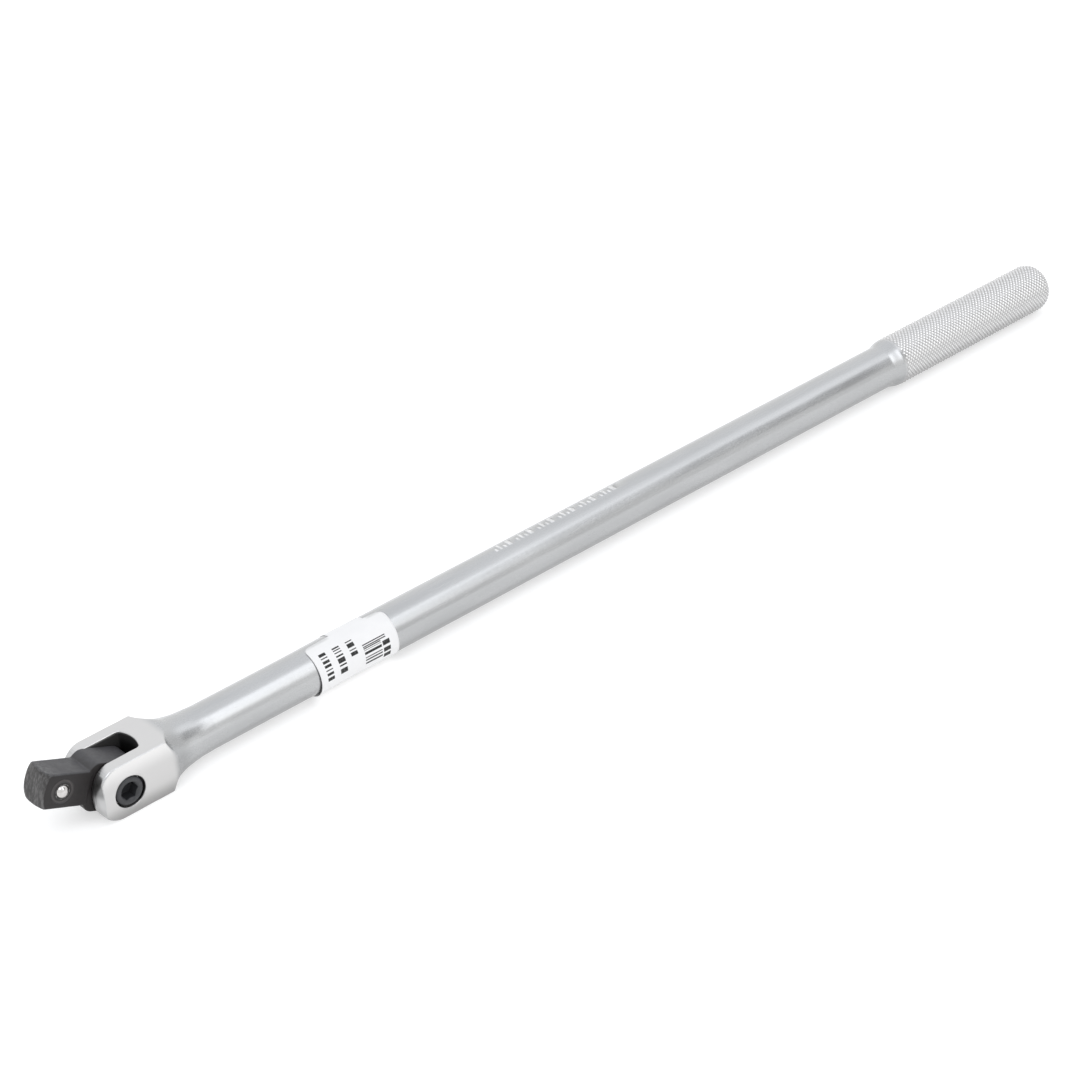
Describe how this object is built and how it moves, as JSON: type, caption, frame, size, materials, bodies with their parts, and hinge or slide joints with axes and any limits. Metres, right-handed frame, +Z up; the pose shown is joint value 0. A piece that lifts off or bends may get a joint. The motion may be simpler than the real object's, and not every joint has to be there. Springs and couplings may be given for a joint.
{
  "type": "flex-head breaker bar",
  "caption": "Long round steel bar with a knurled grip and a forked end, in which a black swivelling head with a ball-detent square drive turns on a hexagon-socket screw.",
  "frame": {"origin": "on the bench below the middle of the bar's box, as the bar lies with its drive tip raised", "axes": "+X from the swivel head to the grip end, +Z up from the bench, -Y the side with the screw's head and the drive's ball"},
  "size_m": [0.5098, 0.024, 0.0277],
  "materials": {
    "satin_chrome": "satin chrome over ground steel, diamond knurl on the grip",
    "black_steel": "black phosphated forged steel, edges worn brighter",
    "screw_steel": "black oxide",
    "ball_steel": "polished bearing steel",
    "spring_steel": "oiled spring wire",
    "label_paper": "matt self-adhesive paper"
  },
  "bodies": {
    "handle": {"handle_bar": "satin_chrome", "hinge_screw": "screw_steel", "friction_ball": "ball_steel", "friction_spring": "spring_steel", "size_label": "label_paper"},
    "head": {"swivel_head": "black_steel", "retaining_spring": "spring_steel"},
    "ball": {"retaining_ball": "ball_steel"}
  },
  "joints": [
    {"name": "head_swivel", "type": "hinge", "parent": "handle", "child": "head", "pos_m": [-0.224, 0, 0.0097], "axis": [0, 1, 0], "range_deg": [-113.1, 66.9]},
    {"name": "ball_press", "type": "slide", "parent": "head", "child": "ball", "axis": [0, 1, 0], "range_m": [0, 0.0014], "stiffness_N_per_m": 1000, "springref_m": -0.003, "deforming": ["retaining_spring"]}
  ]
}
